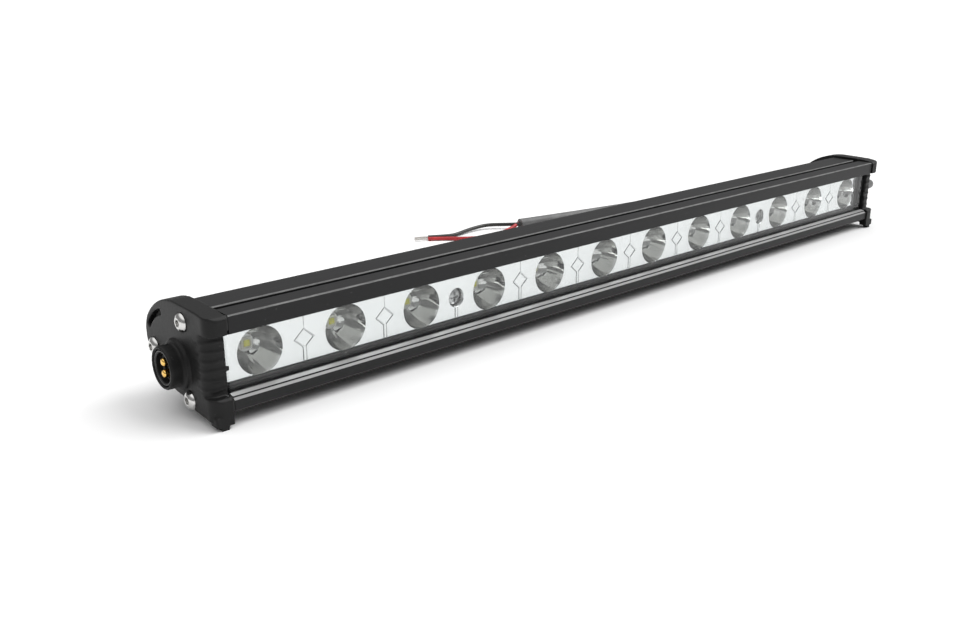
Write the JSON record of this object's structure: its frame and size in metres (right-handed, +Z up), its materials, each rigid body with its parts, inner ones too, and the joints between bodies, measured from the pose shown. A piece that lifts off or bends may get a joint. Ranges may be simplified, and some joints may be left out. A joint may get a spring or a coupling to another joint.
{
  "type": "led light bar",
  "caption": "Slim single-row LED light bar: finned black extrusion with a lensed mirror reflector strip, cast end caps with pivot bosses, two-pin link sockets and a bare-ended supply lead.",
  "frame": {"origin": "on the standing surface under the middle of the bar, measured without the supply lead", "axes": "+X along the bar towards the end with the supply lead, the light shines towards -Y, +Z up"},
  "size_m": [0.4244, 0.1345, 0.0344],
  "materials": {
    "black_anodised": "satin black anodised extrusion",
    "clear_lens": "clear polycarbonate, polished",
    "black_seal": "soft black silicone",
    "mirror_plating": "vacuum-plated mirror finish",
    "screw_steel": "plain zinc steel",
    "white_board": "white solder mask on aluminium",
    "led_ceramic": "matte ceramic",
    "phosphor": "yellow phosphor tile",
    "clear_dome": "clear silicone",
    "grey_pad": "soft grey thermal pad",
    "red_wire": "red insulation",
    "green_board": "green solder mask",
    "ferrite": "ferrite core with a copper winding",
    "capacitor_sleeve": "blue plastic sleeve",
    "chip_black": "moulded epoxy",
    "terminal_white": "white nylon",
    "black_wire": "black insulation",
    "black_cast": "semi-gloss black powder coat on cast aluminium",
    "stainless": "polished stainless steel",
    "socket_black": "black nylon",
    "gold_pin": "gold-plated brass",
    "grey_seal": "dark grey silicone ring",
    "plug_rubber": "moulded black PVC",
    "plug_ring": "black nylon",
    "sheath": "black PVC sheath",
    "tinned_copper": "tinned copper strands"
  },
  "bodies": {
    "root": {"housing": "black_anodised", "lens": "clear_lens", "lens_gasket": "black_seal", "reflector": "mirror_plating", "reflector_screws": "screw_steel", "led_board": "white_board", "led_packages": "led_ceramic", "led_phosphors": "phosphor", "led_domes": "clear_dome", "board_screws": "screw_steel", "thermal_pad": "grey_pad", "board_wires": "red_wire", "driver_board": "green_board", "driver_choke": "ferrite", "driver_capacitors": "capacitor_sleeve", "driver_chips": "chip_black", "driver_terminals": "terminal_white", "link_wires": "black_wire", "feed_wires": "black_wire", "end_cap_left": "black_cast", "end_cap_right": "black_cast", "end_gasket_left": "black_seal", "end_gasket_right": "black_seal", "end_screws_left": "stainless", "end_screws_right": "stainless", "link_socket_left": "socket_black", "link_socket_right": "socket_black", "socket_pins_left": "gold_pin", "socket_pins_right": "gold_pin", "socket_seal_left": "grey_seal", "socket_seal_right": "grey_seal", "lead_plug": "plug_rubber", "plug_grip": "plug_ring", "supply_lead": "sheath", "black_core": "black_wire", "red_core": "red_wire", "core_tips": "tinned_copper"}
  },
  "joints": []
}
